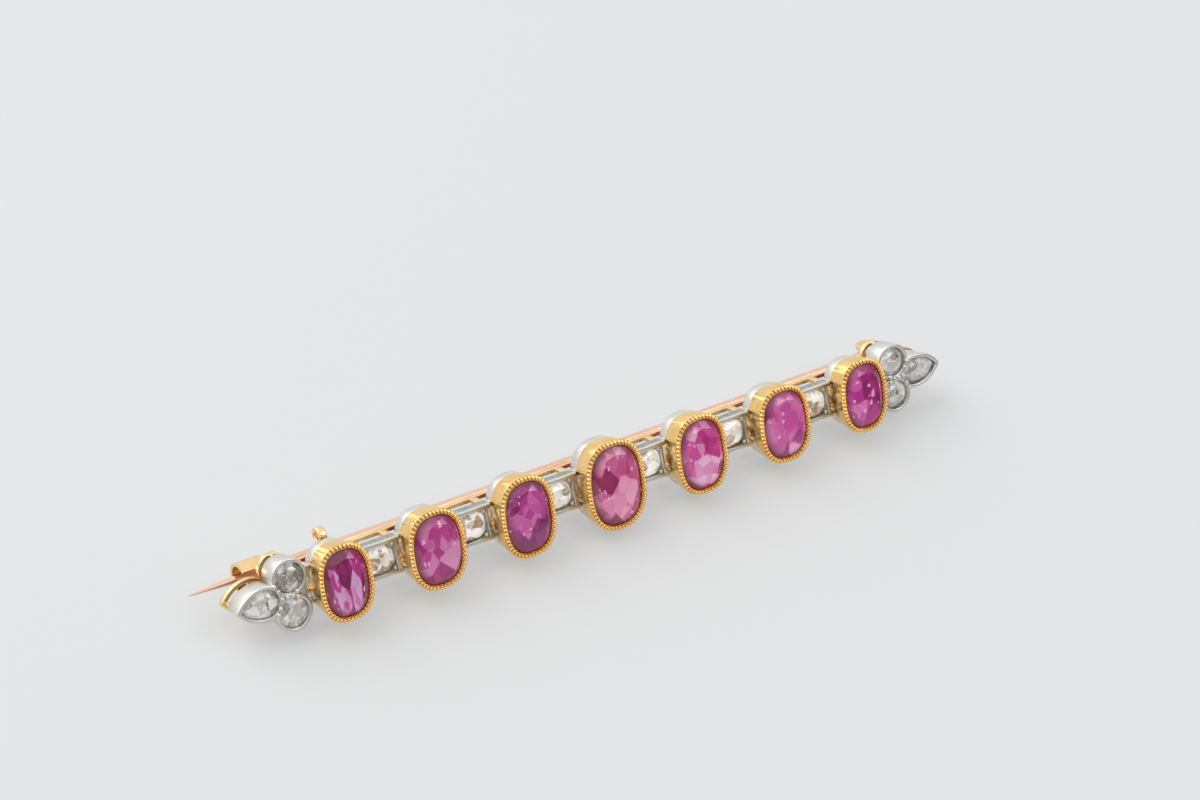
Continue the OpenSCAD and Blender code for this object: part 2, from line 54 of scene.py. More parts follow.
# Collets
RIM_W, LIP_COVER, LIP_T, RIM_SLOPE = 0.36, 0.1, 0.14, 0.2
COLLET_D, COLLET_WALL, SEAT = 1.8, 0.3, 0.18
WALL_SLOPE = 7
STONE_GAP, SEAM = 0.04, 0.03
# White mount
RING_D, RING_WALL = 0.95, 0.2
BOX_H, BOX_FRONT, BOX_D = 2.65, 1.6, 0.95
PLATE_T, PLATE_REACH, GROOVE, CROSS_T = 0.3, 0.28, 0.28, 0.16
SINK, BOX_PLAY, DIAMOND_SEAT, DIAMOND_GIRDLE = 0.28, 0.08, 0.2, 0.06
# End clusters
ROUND_R, ROUND_SPREAD, CLUSTER_RIM, CLUSTER_GAP = 1.04, 1.27, 0.28, 0.18
PEAR_R, PEAR_REACH, PEAR_STEP = 0.96, 1.85, 1.95
CLUSTER_FRONT, CLUSTER_D, CLUSTER_SLOPE, LINK_T = 1.2, 1.7, 4, 0.32
# Gold back
GALLERY_FRONT, GALLERY_T, BAR_W, GALLERY_H, STRUT_W = 3.55, 0.42, 0.32, 2.6, 0.56
FRAME_IN, POST_R, FOOT_T, FOOT_SINK = 0.12, 0.14, 0.3, 0.05
# Pin, hinge, catch and loop
STEM_DEPTH, STEM_Y, POINT_PAST = 5.5, 0.6, 1.3
HINGE_PAST, KNUCKLE_L, KNUCKLE_GAP = 0.8, 1.1, 0.05
EAR_T, EAR_R, RIVET_R, RIVET_PLAY = 0.34, 0.78, 0.25, 0.03
CATCH_R, CATCH_T, CATCH_L, CATCH_PAST, CATCH_OFFSET, LIP_ANGLE = 1.2, 0.26, 1.8, 0.95, 0.3, 42
LOOP_R, LOOP_W, LOOP_T, LOOP_NECK, LOOP_IN = 0.3, 0.32, 0.6, 0.45, 0.3

# Beads on the rims: distance outside the stone's edge, height of their middle, pitch, half sizes
BEAD_OFF, BEAD_Z, BEAD_PITCH, BEAD = 0.178, -0.09, 0.29, (0.192, 0.118, 0.16)
# Ledge below the beads: depth, inner edge, outer edge; then the width of the lip's slope
LEDGE_D, LEDGE_IN, LEDGE_OUT, LIP_SLOPE = 0.18, 0.17, RIM_W * 0.97, 0.06
# Cross walls of the boxes: how much their ends and their top lie inside the plates
CROSS_SHORT, CROSS_LOW = 0.05, 0.02
# Seat in a box: how far it goes into the plates, and how square its opening is
SEAT_REACH, SEAT_SQUARE = 0.15, 3
# Grains in a box: radius, how far in from the stone's corner, and how far above its girdle
BOX_GRAIN, GRAIN_IN, GRAIN_UP = 0.17, 0.06, 0.1
# Slopes on a cluster's rims: outer width and depth, inner width and depth
OUTER_SLOPE, INNER_SLOPE = (0.07, 0.1), (0.05, 0.05)
# Grains of a cluster: radius, how deep below the rims, and their places seen from between the
# round stones, on the bar's middle line and in pairs beside it
CLUSTER_GRAIN, GRAIN_SINK = 0.2, 0.02
MIDDLE_GRAINS = [0.78, -0.02, 0.38]
PAIRED_GRAINS = [(1.0, 0.62), (1.22, 1.02), (-0.4, 0.2)]
# How far a strut goes into its bar, and how far from the loop's hole its neck ends
STRUT_SINK, NECK_END = 0.05, 0.06
# How far edges are rounded off
SOFT = {"collet": 0.015, "setting": 0.03, "catch": 0.03, "wall": 0.04, "ear": 0.04,
        "box": 0.05, "ring": 0.05, "frame": 0.06, "strut": 0.06, "foot": 0.06, "bar": 0.07,
        "neck": 0.08, "loop": 0.12}
# Sides of the bands round a ruby, a cluster's stone, other round pieces and a box's seat, of the
# round posts, and of the CAD model's collets
RUBY_SIDES, SETTING_SIDES, ROUND_SIDES, SEAT_SIDES, POST_SIDES = 112, 72, 64, 48, 24
CAD_SIDES = 32
# Sides and rings of a grain or bead, and steps of the catch's curl
GRAIN_SIDES, GRAIN_RINGS, CATCH_STEPS = 8, 6, 40
# Steps in which an outline is measured
OUTLINE_STEPS = 720

# Each ruby from the middle out: place in pitches, width and height as shares of the middle one's
RUBIES = [(0, 1, 1), (1, 0.88, 0.89), (2, 0.9, 0.86), (2.98, 0.82, 0.83)]
LAST = len(RUBIES) - 1
PLACES = range(-LAST, LAST + 1)
# The box with the number i lies between the rubies i and i + 1
BOXES = range(-LAST, LAST)


def ruby_number(i):
    """The rubies of the CAD model are counted from the left, from 1."""
    return i + LAST + 1


def ruby_x(i):
    return math.copysign(RUBIES[abs(i)][0] * PITCH, i)


def half_size(i):
    return RUBIES[abs(i)][1] * RUBY_W / 2, RUBIES[abs(i)][2] * RUBY_H / 2


def drawn_in(depth):
    """How far the sloped walls have come in at a depth below the rims."""
    return max(0, depth - RIM_SLOPE) * math.tan(math.radians(WALL_SLOPE))


def wall_half_w(i, depth):
    return half_size(i)[0] + RIM_W - drawn_in(depth)


def tail_off(depth):
    """Outside of a collet's tail, which stands in the white ring."""
    return RIM_W - drawn_in(depth) - RING_WALL - SEAM


def into_ring(i):
    return wall_half_w(i, BOX_BACK) - PLATE_REACH


def box_room(i):
    """A box's ends, its middle and the length of its room between the cross walls."""
    start = ruby_x(i) + wall_half_w(i, BOX_FRONT)
    end = ruby_x(i + 1) - wall_half_w(i + 1, BOX_FRONT)
    return start, end, (start + end) / 2, end - start - 2 * (GROOVE + CROSS_T)


GIRDLE_TOP = LIP_T + LIP_COVER * math.tan(math.radians(CROWN_ANGLE)) + STONE_GAP
GIRDLE_LOW = GIRDLE_TOP + GIRDLE
RING_FRONT = COLLET_D + SEAM
RING_BACK = RING_FRONT + RING_D
BOX_BACK = BOX_FRONT + BOX_D
TAIL_BACK = BOX_BACK - SEAM
WINDOW = BOX_H / 2 - PLATE_T
CLUSTER_BACK = CLUSTER_FRONT + CLUSTER_D
CLUSTER_IN = CLUSTER_D * math.tan(math.radians(CLUSTER_SLOPE))
GALLERY_BACK = GALLERY_FRONT + GALLERY_T
ROUND_OUT = ROUND_R + STONE_GAP + CLUSTER_RIM
ROUND_X = ruby_x(LAST) + wall_half_w(LAST, 0) + CLUSTER_GAP + ROUND_OUT
PEAR_X = ROUND_X + PEAR_STEP
HINGE_X = ROUND_X + HINGE_PAST
EAR_IN = KNUCKLE_L / 2 + KNUCKLE_GAP
EAR_OUT = EAR_IN + EAR_T
CATCH_DEPTH = STEM_DEPTH - CATCH_OFFSET
CATCH_X = -(ROUND_X + CATCH_PAST)
LOOP_X = ruby_x(-LAST) + LOOP_IN
LOOP_Y = GALLERY_H / 2 + LOOP_NECK + LOOP_W + LOOP_R


# Outlines: a place round the edge for a turn in degrees, moved out by off
def cushion(half_w, half_h, square=RUBY_SQUARE):
    def at(turn, off):
        c, s = math.cos(math.radians(turn)), math.sin(math.radians(turn))
        power = 2 / square
        return ((half_w + off) * math.copysign(abs(c) ** power, c),
                (half_h + off) * math.copysign(abs(s) ** power, s))
    return at


def disc(radius):
    return lambda turn, off: ((radius + off) * math.cos(math.radians(turn)),
                              (radius + off) * math.sin(math.radians(turn)))


def pear(turn, off):
    """A half circle on the left, and two long arcs that meet at the tip on the right."""
    side_drop = (PEAR_REACH ** 2 - PEAR_R ** 2) / (2 * PEAR_R)
    a = min(turn % 360, 360 - turn % 360)
    if a >= 90:
        r = PEAR_R + off
        x, y = r * math.cos(math.radians(a)), r * math.sin(math.radians(a))
    else:
        r = PEAR_R + side_drop + off
        first = math.asin(side_drop / r)
        b = first + (math.pi / 2 - first) * a / 90
        x, y = r * math.cos(b), r * math.sin(b) - side_drop
    return x, -y if turn % 360 > 180 else y


PEAR_TIP_X = PEAR_X + pear(0, STONE_GAP + CLUSTER_RIM)[0]
POINT_X = -(PEAR_TIP_X + POINT_PAST)

# How the brooch rests in the frame of the CAD model: it leans back on the middle ring's back
# edge and on the frames behind the clusters
FRAME_OUT = ROUND_OUT - CLUSTER_IN - FRAME_IN


def low_edge(off):
    """How far down the flat edge at the bottom of the CAD model's middle collet lies."""
    return cushion(RUBY_W / 2, RUBY_H / 2)(90 - 180 / CAD_SIDES, off)[1]


RING_LOW = low_edge(RIM_W - drawn_in(RING_BACK))
LEAN = math.atan2(RING_LOW - ROUND_SPREAD - FRAME_OUT, GALLERY_BACK - RING_BACK)
LIFT = RING_LOW * math.cos(LEAN) + RING_BACK * math.sin(LEAN)
FRONT_Y = min(-low_edge(RIM_W / 2) * math.sin(LEAN),
              -(CROWN - GIRDLE_TOP) * math.cos(LEAN) - RUBY_H / 3 * math.sin(LEAN))
BACK_Y = max(CATCH_DEPTH * math.cos(LEAN) + STEM_Y * math.sin(LEAN) + CATCH_R,
             STEM_DEPTH * math.cos(LEAN) + (STEM_Y + EAR_OUT) * math.sin(LEAN) + EAR_R)
STAND = (Matrix.Scale(MM, 4)
         @ Matrix.Translation((-(PEAR_TIP_X + POINT_X) / 2, -(FRONT_Y + BACK_Y) / 2, LIFT))
         @ Matrix.Rotation(math.pi / 2 - LEAN, 4, "X"))

# Modelling helpers
MERGE = 1e-5  # vertices closer than this become one
START = 0.01  # a band's first vertex lies past the x axis by this share of a side
TINY = 1e-6


def deselect_all():
    if bpy.context.object and bpy.context.object.mode == "EDIT":
        bpy.ops.object.mode_set(mode="OBJECT")
    bpy.ops.object.select_all(action="DESELECT")


def pick(*pieces):
    deselect_all()
    for piece in pieces:
        piece.select_set(True)
    bpy.context.view_layer.objects.active = pieces[0]


def fix_place():
    """Makes the picked piece's place, turn and size part of its mesh."""
    bpy.ops.object.transform_apply(location=True, rotation=True, scale=True)


def start_edit():
    bpy.ops.object.mode_set(mode="EDIT")
    bpy.ops.mesh.select_all(action="SELECT")


def close_mesh():
    """Merges the vertices that meet, turns the faces out and ends the edit."""
    bpy.ops.mesh.select_all(action="SELECT")
    bpy.ops.mesh.remove_doubles(threshold=MERGE)
    bpy.ops.mesh.normals_make_consistent(inside=False)
    bpy.ops.object.mode_set(mode="OBJECT")


def modify(piece, name, kind, **settings):
    """Gives a piece a modifier and applies it."""
    pick(piece)
    modifier = piece.modifiers.new(name, kind)
    for setting, value in settings.items():
        setattr(modifier, setting, value)
    bpy.ops.object.modifier_apply(modifier=modifier.name)


def lay_edge(outline, off, z, centre):
    """Puts the selected ring of vertices on an outline, in their order round the middle."""
    mesh = bmesh.from_edit_mesh(bpy.context.object.data)
    ring = [v for v in mesh.verts if v.select]
    ring.sort(key=lambda v: math.atan2(v.co.y - centre[1], v.co.x - centre[0]) % (2 * math.pi))
    for k, v in enumerate(ring):
        x, y = outline(360 * k / len(ring), off)
        v.co = (centre[0] + x, centre[1] + y, z)
    bmesh.update_edit_mesh(bpy.context.object.data)


def band(outline, profile, sides, centre=(0, 0)):
    """A closed band: a ring of edges on the outline, extruded from step to step of the profile.
    A step is its distance outside the outline and its height."""
    deselect_all()
    bpy.ops.mesh.primitive_circle_add(vertices=sides, radius=1)
    piece = bpy.context.object
    start_edit()
    # no vertex lies on the x axis itself, so that every step sorts the same way
    mesh = bmesh.from_edit_mesh(piece.data)
    for k, v in enumerate(mesh.verts):
        a = 2 * math.pi * (k + START) / sides
        v.co = (centre[0] + math.cos(a), centre[1] + math.sin(a), 0)
    bmesh.update_edit_mesh(piece.data)
    for step, (off, z) in enumerate(profile + profile[:1]):
        if step:
            bpy.ops.mesh.extrude_edges_move()
        lay_edge(outline, off, z, centre)
    close_mesh()
    return piece


def flat_band(outline, outer, inner, top, foot, sides, centre=(0, 0)):
    """A band with a square section, between two distances outside the outline."""
    return band(outline, [(outer, top), (inner, top), (inner, foot), (outer, foot)], sides, centre)


def block(low, high, soft=SOFT["wall"]):
    """A bar or plate between two corners, with its edges rounded off."""
    deselect_all()
    low, high = Vector(low), Vector(high)
    bpy.ops.mesh.primitive_cube_add(size=1, location=(low + high) / 2, scale=high - low)
    piece = bpy.context.object
    fix_place()
    if soft:
        start_edit()
        bpy.ops.mesh.bevel(offset=soft, segments=2, affect="EDGES")
        bpy.ops.object.mode_set(mode="OBJECT")
    return piece


def post(start, end, radius):
    """A straight round post."""
    deselect_all()
    start, end = Vector(start), Vector(end)
    axis = end - start
    bpy.ops.mesh.primitive_cone_add(vertices=POST_SIDES, radius1=radius, radius2=radius,
                                    depth=axis.length)
    piece = bpy.context.object
    piece.matrix_world = (Matrix.Translation((start + end) / 2)
                          @ axis.to_track_quat("Z", "Y").to_matrix().to_4x4())
    fix_place()
    return piece


def round_edges(piece, width, limit, segments=2):
    modify(piece, "rounded edges", "BEVEL", width=width, segments=segments,
           limit_method="ANGLE", angle_limit=math.radians(limit))


def cut_with(piece, cutter):
    """Takes the cutter's room out of a piece."""
    modify(piece, "room", "BOOLEAN", operation="DIFFERENCE", solver="EXACT", object=cutter)
    pick(cutter)
    bpy.ops.object.delete()


def join(pieces):
    pick(*pieces)
    bpy.ops.object.join()
    return bpy.context.object


def dots(spots, size):
    """Small raised grains, each a copy of one ball, joined to one mesh. A spot is x, y, z, turn."""
    deselect_all()
    bpy.ops.mesh.primitive_uv_sphere_add(segments=GRAIN_SIDES, ring_count=GRAIN_RINGS, radius=1)
    ball = bpy.context.object
    pattern = ball.data.copy()
    mesh = bmesh.new()
    for x, y, z, turn in spots:
        before = len(mesh.verts)
        mesh.from_mesh(pattern)
        mesh.verts.ensure_lookup_table()
        place = (Matrix.Translation((x, y, z)) @ Matrix.Rotation(turn, 4, "Z")
                 @ Matrix.Diagonal((*size, 1)))
        bmesh.ops.transform(mesh, matrix=place, verts=mesh.verts[before:])
    mesh.to_mesh(ball.data)
    mesh.free()
    bpy.data.meshes.remove(pattern)
    return ball


def along(outline, off, spacing):
    """Even spots along an outline: (x, y, turn of the outward direction)."""
    fine = [outline(360 * k / OUTLINE_STEPS, off) for k in range(OUTLINE_STEPS + 1)]
    lengths = [0]
    for a, b in zip(fine, fine[1:]):
        lengths.append(lengths[-1] + math.dist(a, b))
    count = round(lengths[-1] / spacing)
    spots, k = [], 0
    for n in range(count):
        goal = lengths[-1] * n / count
        while lengths[k + 1] < goal:
            k += 1
        share = (goal - lengths[k]) / (lengths[k + 1] - lengths[k])
        x, y = (p + (q - p) * share for p, q in zip(fine[k], fine[k + 1]))
        dx, dy = (q - p for p, q in zip(fine[k], fine[k + 1]))
        spots.append((x, y, math.atan2(-dx, dy)))
    return spots


def mirrored(piece):
    """Fixes a right-hand piece in its place and gives its mirror image for the left end."""
    pick(piece)
    fix_place()
    bpy.ops.object.duplicate()
    twin = bpy.context.object
    bpy.ops.transform.mirror(constraint_axis=(True, False, False), center_override=(0, 0, 0))
    fix_place()
    start_edit()
    bpy.ops.mesh.normals_make_consistent(inside=False)
    bpy.ops.object.mode_set(mode="OBJECT")
    return twin


def dress(piece, finish):
    piece.data.materials.clear()
    piece.data.materials.append(finish)


def settle(piece, name, finish, node, smooth=35):
    """Stands a finished piece up in the CAD frame, where it stands for a node of the CAD model."""
    pick(piece)
    piece.matrix_world = STAND @ piece.matrix_world
    fix_place()
    bpy.ops.object.shade_smooth_by_angle(angle=math.radians(smooth))
    modify(piece, "even shading", "WEIGHTED_NORMAL", keep_sharp=True)
    piece.name = piece.data.name = name
    dress(piece, finish)
    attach(piece, "brooch")
    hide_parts(node)


# Finishes
def add_node(tree, kind, given=None, **settings):
    """A new node. What its inputs are given is a value or another node's output."""
    node = tree.nodes.new(kind)
    for setting, value in settings.items():
        setattr(node, setting, value)
    for name, value in (given or {}).items():
        if isinstance(value, bpy.types.NodeSocket):
            tree.links.new(value, node.inputs[name])
        else:
            node.inputs[name].default_value = value
    return node


def maths(tree, operation, *given):
    node = add_node(tree, "ShaderNodeMath", dict(enumerate(given)), operation=operation)
    return node.outputs["Value"]


def map_range(tree, value, start, end):
    """0 where the value is at the start, 1 where it is at the end."""
    node = add_node(tree, "ShaderNodeMapRange",
                    {"Value": value, "From Min": start, "From Max": end})
    return node.outputs["Result"]


def mixed(tree, factor, first, second):
    """A colour between two others."""
    node = add_node(tree, "ShaderNodeMix", {"Factor": factor, "A": first, "B": second},
                    data_type="RGBA")
    return node.outputs["Result"]


def new_group(name, inputs, outputs):
    group = bpy.data.node_groups.new(name, "ShaderNodeTree")
    for label, kind, value in inputs:
        socket = group.interface.new_socket(label, in_out="INPUT", socket_type=kind)
        socket.default_value = value
    for label in outputs:
        group.interface.new_socket(label, in_out="OUTPUT", socket_type="NodeSocketFloat")
    return group, group.nodes.new("NodeGroupInput"), group.nodes.new("NodeGroupOutput")


def new_finish(name):
    finish = bpy.data.materials.new(name)
    finish.use_nodes = True
    return finish, finish.node_tree, finish.node_tree.nodes["Principled BSDF"]


def own_place(tree, centre=(0, 0)):
    """Millimetres from a place on the brooch: along the bar, across it and out of its face."""
    place = add_node(tree, "ShaderNodeTexCoord")
    own = add_node(tree, "ShaderNodeMapping", {
        "Vector": place.outputs["Object"], "Location": STAND @ Vector((*centre, 0)),
        "Rotation": (math.pi / 2 - LEAN, 0, 0), "Scale": (MM, MM, MM)}, vector_type="TEXTURE")
    return own.outputs["Vector"]


# Painted shade and reflection of the boxes on the gold: where it begins and where it is full:
# distance from the bar's middle line, z, and strength of a blotch. Then a blotch's usual size and
# detail
PAINTED_SHADE_ACROSS, PAINTED_SHADE_Z, PAINTED_SHADE_BLOTCH = (1.5, 1.0), (-0.6, -1.3), (0.42, 0.56)
BLOTCH_SIZE, BLOTCH_DETAIL = 1.6, 3


def painted_shade_group():
    """Painted shade and reflection of the boxes: brown in blotches, on the walls beside the boxes
    and low on them.
    """
    group, given, out = new_group("tarnish beside the boxes",
                                  [("Blotch Size", "NodeSocketFloat", BLOTCH_SIZE)],
                                  ["Amount"])
    own = own_place(group)
    split = add_node(group, "ShaderNodeSeparateXYZ", {"Vector": own}).outputs
    across = maths(group, "ABSOLUTE", split["Y"])
    blotches = add_node(group, "ShaderNodeTexNoise", {
        "Vector": own, "Scale": given.outputs["Blotch Size"], "Detail": BLOTCH_DETAIL})
    amount = maths(group, "MULTIPLY", map_range(group, across, *PAINTED_SHADE_ACROSS),
                   map_range(group, split["Z"], *PAINTED_SHADE_Z))
    amount = maths(group, "MULTIPLY", amount,
                   map_range(group, blotches.outputs["Fac"], *PAINTED_SHADE_BLOTCH))
    group.links.new(amount, out.inputs["Amount"])
    return group


# Worn polish: detail and roughness of the mottle's noise and the part of it that is used, then
# the size, the detail and the stretch of the fine lines
MOTTLE_DETAIL, MOTTLE_ROUGH, MOTTLE_SPREAD = 4, 0.6, (0.32, 0.68)
LINE_SIZE, LINE_DETAIL, LINE_STRETCH = 7, 6, (0.6, 2.4, 1.6)


def wear_group():
    """Handling marks on metal: a slow mottle for colour and roughness, fine lines for bump."""
    group, given, out = new_group(
        "worn polish",
        [("Mottle Size", "NodeSocketFloat", 1.0), ("Low Roughness", "NodeSocketFloat", 0.15),
         ("High Roughness", "NodeSocketFloat", 0.3)],
        ["Mottle", "Roughness", "Height"])
    place = add_node(group, "ShaderNodeTexCoord")
    millimetres = add_node(group, "ShaderNodeVectorMath", {
        0: place.outputs["Object"], "Scale": 1 / MM}, operation="SCALE").outputs["Vector"]
    noise = add_node(group, "ShaderNodeTexNoise", {
        "Vector": millimetres, "Scale": given.outputs["Mottle Size"],
        "Detail": MOTTLE_DETAIL, "Roughness": MOTTLE_ROUGH})
    mottle = map_range(group, noise.outputs["Fac"], *MOTTLE_SPREAD)
    rough = add_node(group, "ShaderNodeMapRange", {
        "Value": mottle, "To Min": given.outputs["Low Roughness"],
        "To Max": given.outputs["High Roughness"]})
    stretch = add_node(group, "ShaderNodeMapping", {"Vector": millimetres, "Scale": LINE_STRETCH})
    lines = add_node(group, "ShaderNodeTexNoise", {
        "Vector": stretch.outputs["Vector"], "Scale": LINE_SIZE, "Detail": LINE_DETAIL})
    group.links.new(mottle, out.inputs["Mottle"])
    group.links.new(rough.outputs["Result"], out.inputs["Roughness"])
    group.links.new(lines.outputs["Fac"], out.inputs["Height"])
    return group


WEAR = wear_group()
PAINTED_SHADE = painted_shade_group()
RELIEF = 0.0001  # depth in metres that a height of 1 stands for


def metal(name, bright, dull, rough, bump, mottle=0.9, painted_shade=None):
    """Worn metal: bright and smooth in some places, dull and rougher in others."""
    finish, tree, shader = new_finish(name)
    shader.inputs["Metallic"].default_value = 1
    wear = add_node(tree, "ShaderNodeGroup", node_tree=WEAR)
    wear.inputs["Mottle Size"].default_value = mottle
    wear.inputs["Low Roughness"].default_value = rough[0]
    wear.inputs["High Roughness"].default_value = rough[1]
    colour = mixed(tree, wear.outputs["Mottle"], (*bright, 1), (*dull, 1))
    # painted shade: brown blotches on the walls beside the boxes, where they mirror the boxes'
    # shade
    if painted_shade:
        blotches = add_node(tree, "ShaderNodeGroup", node_tree=PAINTED_SHADE)
        colour = mixed(tree, blotches.outputs["Amount"], colour, (*painted_shade, 1))
    tree.links.new(colour, shader.inputs["Base Color"])
    tree.links.new(wear.outputs["Roughness"], shader.inputs["Roughness"])
    relief = add_node(tree, "ShaderNodeBump", {
        "Strength": bump, "Distance": RELIEF, "Height": wear.outputs["Height"]})
    tree.links.new(relief.outputs["Normal"], shader.inputs["Normal"])
    return finish


# Patches of light in a stone: how much finer than the patch size, how soft their borders are,
# and the part of the light that they make
LARGE_PATCHES, SMALL_PATCHES = (1.0, 0.12, 0.72), (2.4, 0.12, 0.28)
# Sparks: how much finer their cells are, and the value above which a cell flashes
SPARK_FINER, SPARK_FROM = 8, 0.975


def patch_group():
    """Light inside a cut stone: flat patches with straight borders, large and small, from 0 to 1.
    Sparks are the few of the finest cells that flash."""
    group, given, out = new_group(
        "light in a cut stone",
        [("Place", "NodeSocketVector", (0, 0, 0)), ("Patch Size", "NodeSocketFloat", 1.0)],
        ["Light", "Sparks"])

    def cells(label, finer, softness):
        pattern = add_node(group, "ShaderNodeTexVoronoi", {
            "Vector": given.outputs["Place"], "Smoothness": softness,
            "Scale": maths(group, "DIVIDE", finer, given.outputs["Patch Size"])},
            label=label, feature="SMOOTH_F1")
        return add_node(group, "ShaderNodeSeparateColor",
                        {"Color": pattern.outputs["Color"]}).outputs

    def light(label, finer, softness, part):
        return maths(group, "MULTIPLY", cells(label, finer, softness)["Red"], part)

    total = maths(group, "ADD", light("large patches", *LARGE_PATCHES),
                  light("small patches", *SMALL_PATCHES))
    flash = maths(group, "GREATER_THAN", cells("sparks", SPARK_FINER, 0)["Green"], SPARK_FROM)
    group.links.new(total, out.inputs["Light"])
    group.links.new(flash, out.inputs["Sparks"])
    return group


PATCHES = patch_group()
POLISH = 0.02  # roughness of a polished stone
# Where a stone's pattern is taken from, as a multiple of its seed
SEED_STEPS = (1, 0.37, 0.71)
# Dark rim of a stone: where it begins and where it is full, from 0 in the middle to 1 at the edge
RIM_SHADE = (0.74, 1.0)


def stone(name, tones, spark, index, patch, seed, clear, glow,
          centre=(0, 0), stretch=1, half=None, rim=None):
    """Cut stone: its colour goes from dark to pale over the patches, and to the tone of the rim
    at its edge. A stretch above 1 makes the patches narrow and high."""
    finish, tree, shader = new_finish(name)
    shader.inputs["Transmission Weight"].default_value = clear
    shader.inputs["IOR"].default_value = index
    shader.inputs["Roughness"].default_value = POLISH
    # Painted light: the stone glows faintly in its own colours, standing in for its sparkle.
    shader.inputs["Emission Strength"].default_value = glow
    own = own_place(tree, centre)
    shifted = add_node(tree, "ShaderNodeVectorMath", {
        0: own, 1: (stretch, 1 / stretch, 1), 2: [step * seed for step in SEED_STEPS]},
        operation="MULTIPLY_ADD")
    inner = add_node(tree, "ShaderNodeGroup", node_tree=PATCHES)
    inner.inputs["Patch Size"].default_value = patch
    tree.links.new(shifted.outputs["Vector"], inner.inputs["Place"])
    ramp = add_node(tree, "ShaderNodeValToRGB", {"Fac": inner.outputs["Light"]})
    stops = ramp.color_ramp.elements
    while len(stops) < len(tones):
        stops.new(0.5)
    for stop, (at, tone) in zip(stops, tones):
        stop.position, stop.color = at, (*tone, 1)
    colour = mixed(tree, inner.outputs["Sparks"], ramp.outputs["Color"], (*spark, 1))
    if rim:
        flat = add_node(tree, "ShaderNodeVectorMath", {
            0: own, 1: (1 / half[0], 1 / half[1], 0)}, operation="MULTIPLY")
        length = add_node(tree, "ShaderNodeVectorMath", {
            0: flat.outputs["Vector"]}, operation="LENGTH")
        near = map_range(tree, length.outputs["Value"], *RIM_SHADE)
        colour = mixed(tree, near, colour, (*rim, 1))
    tree.links.new(colour, shader.inputs["Base Color"])
    tree.links.new(colour, shader.inputs["Emission Color"])
    return finish


# the brown tone of the yellow gold is painted shade and reflection beside the boxes
YELLOW_GOLD = metal("yellow gold", (0.98, 0.70, 0.31), (0.90, 0.56, 0.18), rough=(0.12, 0.22),
                    bump=0.004, painted_shade=(0.24, 0.12, 0.035))
BACK_GOLD = metal("gold of the back", (0.97, 0.73, 0.42), (0.90, 0.60, 0.29), rough=(0.18, 0.32),
                  bump=0.006)
ROSE_GOLD = metal("rose gold wire", (0.89, 0.61, 0.46), (0.81, 0.50, 0.36), rough=(0.22, 0.36),
                  bump=0.01, mottle=0.5)
WHITE_METAL = metal("worn white metal", (0.76, 0.76, 0.73), (0.64, 0.64, 0.60),
                    rough=(0.26, 0.42), bump=0.015, mottle=1.4)

# Each ruby from the left: its dark, middle, light and pale tone
RUBY_TONES = [
    ((0.17, 0.003, 0.07), (0.42, 0.006, 0.19), (0.50, 0.05, 0.28), (0.68, 0.36, 0.60)),
    ((0.20, 0.003, 0.08), (0.37, 0.010, 0.17), (0.48, 0.05, 0.26), (0.68, 0.26, 0.48)),
    ((0.20, 0.005, 0.10), (0.40, 0.025, 0.23), (0.56, 0.10, 0.36), (0.76, 0.34, 0.60)),
    ((0.27, 0.006, 0.09), (0.48, 0.045, 0.19), (0.60, 0.12, 0.30), (0.82, 0.34, 0.50)),
    ((0.23, 0.004, 0.07), (0.48, 0.018, 0.21), (0.62, 0.09, 0.34), (0.86, 0.46, 0.66)),
    ((0.34, 0.016, 0.15), (0.52, 0.045, 0.29), (0.64, 0.12, 0.39), (0.82, 0.35, 0.62)),
    ((0.17, 0.003, 0.08), (0.39, 0.006, 0.19), (0.53, 0.03, 0.30), (0.70, 0.20, 0.48)),
]
# Each ruby from the left: size of its patches, their seed, and how narrow and high they are
RUBY_PATCHES = [(1.3, 3.1, 1.8), (1.9, 8.4, 1.1), (1.7, 1.7, 1.1), (1.9, 5.2, 1.1),
                (1.9, 9.6, 1.0), (2.0, 2.9, 1.1), (1.9, 6.3, 1.1)]
RUBY_STOPS = (0.2, 0.42, 0.66, 0.84)
RUBY_SPARK, RUBY_RIM = (0.84, 0.36, 0.62), (0.16, 0.003, 0.03)
# the rubies' glow is painted light
RUBY_INDEX, RUBY_CLEAR, RUBY_GLOW = 1.76, 0.12, 0.1


def ruby_finish(i):
    number = ruby_number(i)
    patch, seed, stretch = RUBY_PATCHES[number - 1]
    return stone("ruby %d" % number, list(zip(RUBY_STOPS, RUBY_TONES[number - 1])), RUBY_SPARK,
                 RUBY_INDEX, patch, seed, RUBY_CLEAR, RUBY_GLOW, centre=(ruby_x(i), 0),
                 stretch=stretch, half=[side + LIP_COVER for side in half_size(i)], rim=RUBY_RIM)


WHITE = (1, 1, 1)
DIAMOND_INDEX, DIAMOND_PATCH, DIAMOND_SEED, DIAMOND_CLEAR = 2.42, 0.7, 7, 0.3


def diamond_finish(name, tones, glow):
    return stone(name, tones, WHITE, DIAMOND_INDEX, DIAMOND_PATCH, DIAMOND_SEED, DIAMOND_CLEAR,
                 glow)


# Painted light: both diamonds glow, and the diamonds of the boxes are a paler copy with more glow,
# against the shade inside their boxes.
CLUSTER_DIAMOND = diamond_finish("diamond of the clusters", [
    (0.2, (0.18, 0.16, 0.13)), (0.38, (0.42, 0.39, 0.35)),
    (0.56, (0.60, 0.60, 0.58)), (0.8, (0.92, 0.93, 0.94))], glow=0.12)
BOX_DIAMOND = diamond_finish("diamond of the boxes", [
    (0.2, (0.30, 0.20, 0.12)), (0.36, (0.55, 0.47, 0.38)),
    (0.54, (0.76, 0.75, 0.72)), (0.8, WHITE)], glow=0.25)


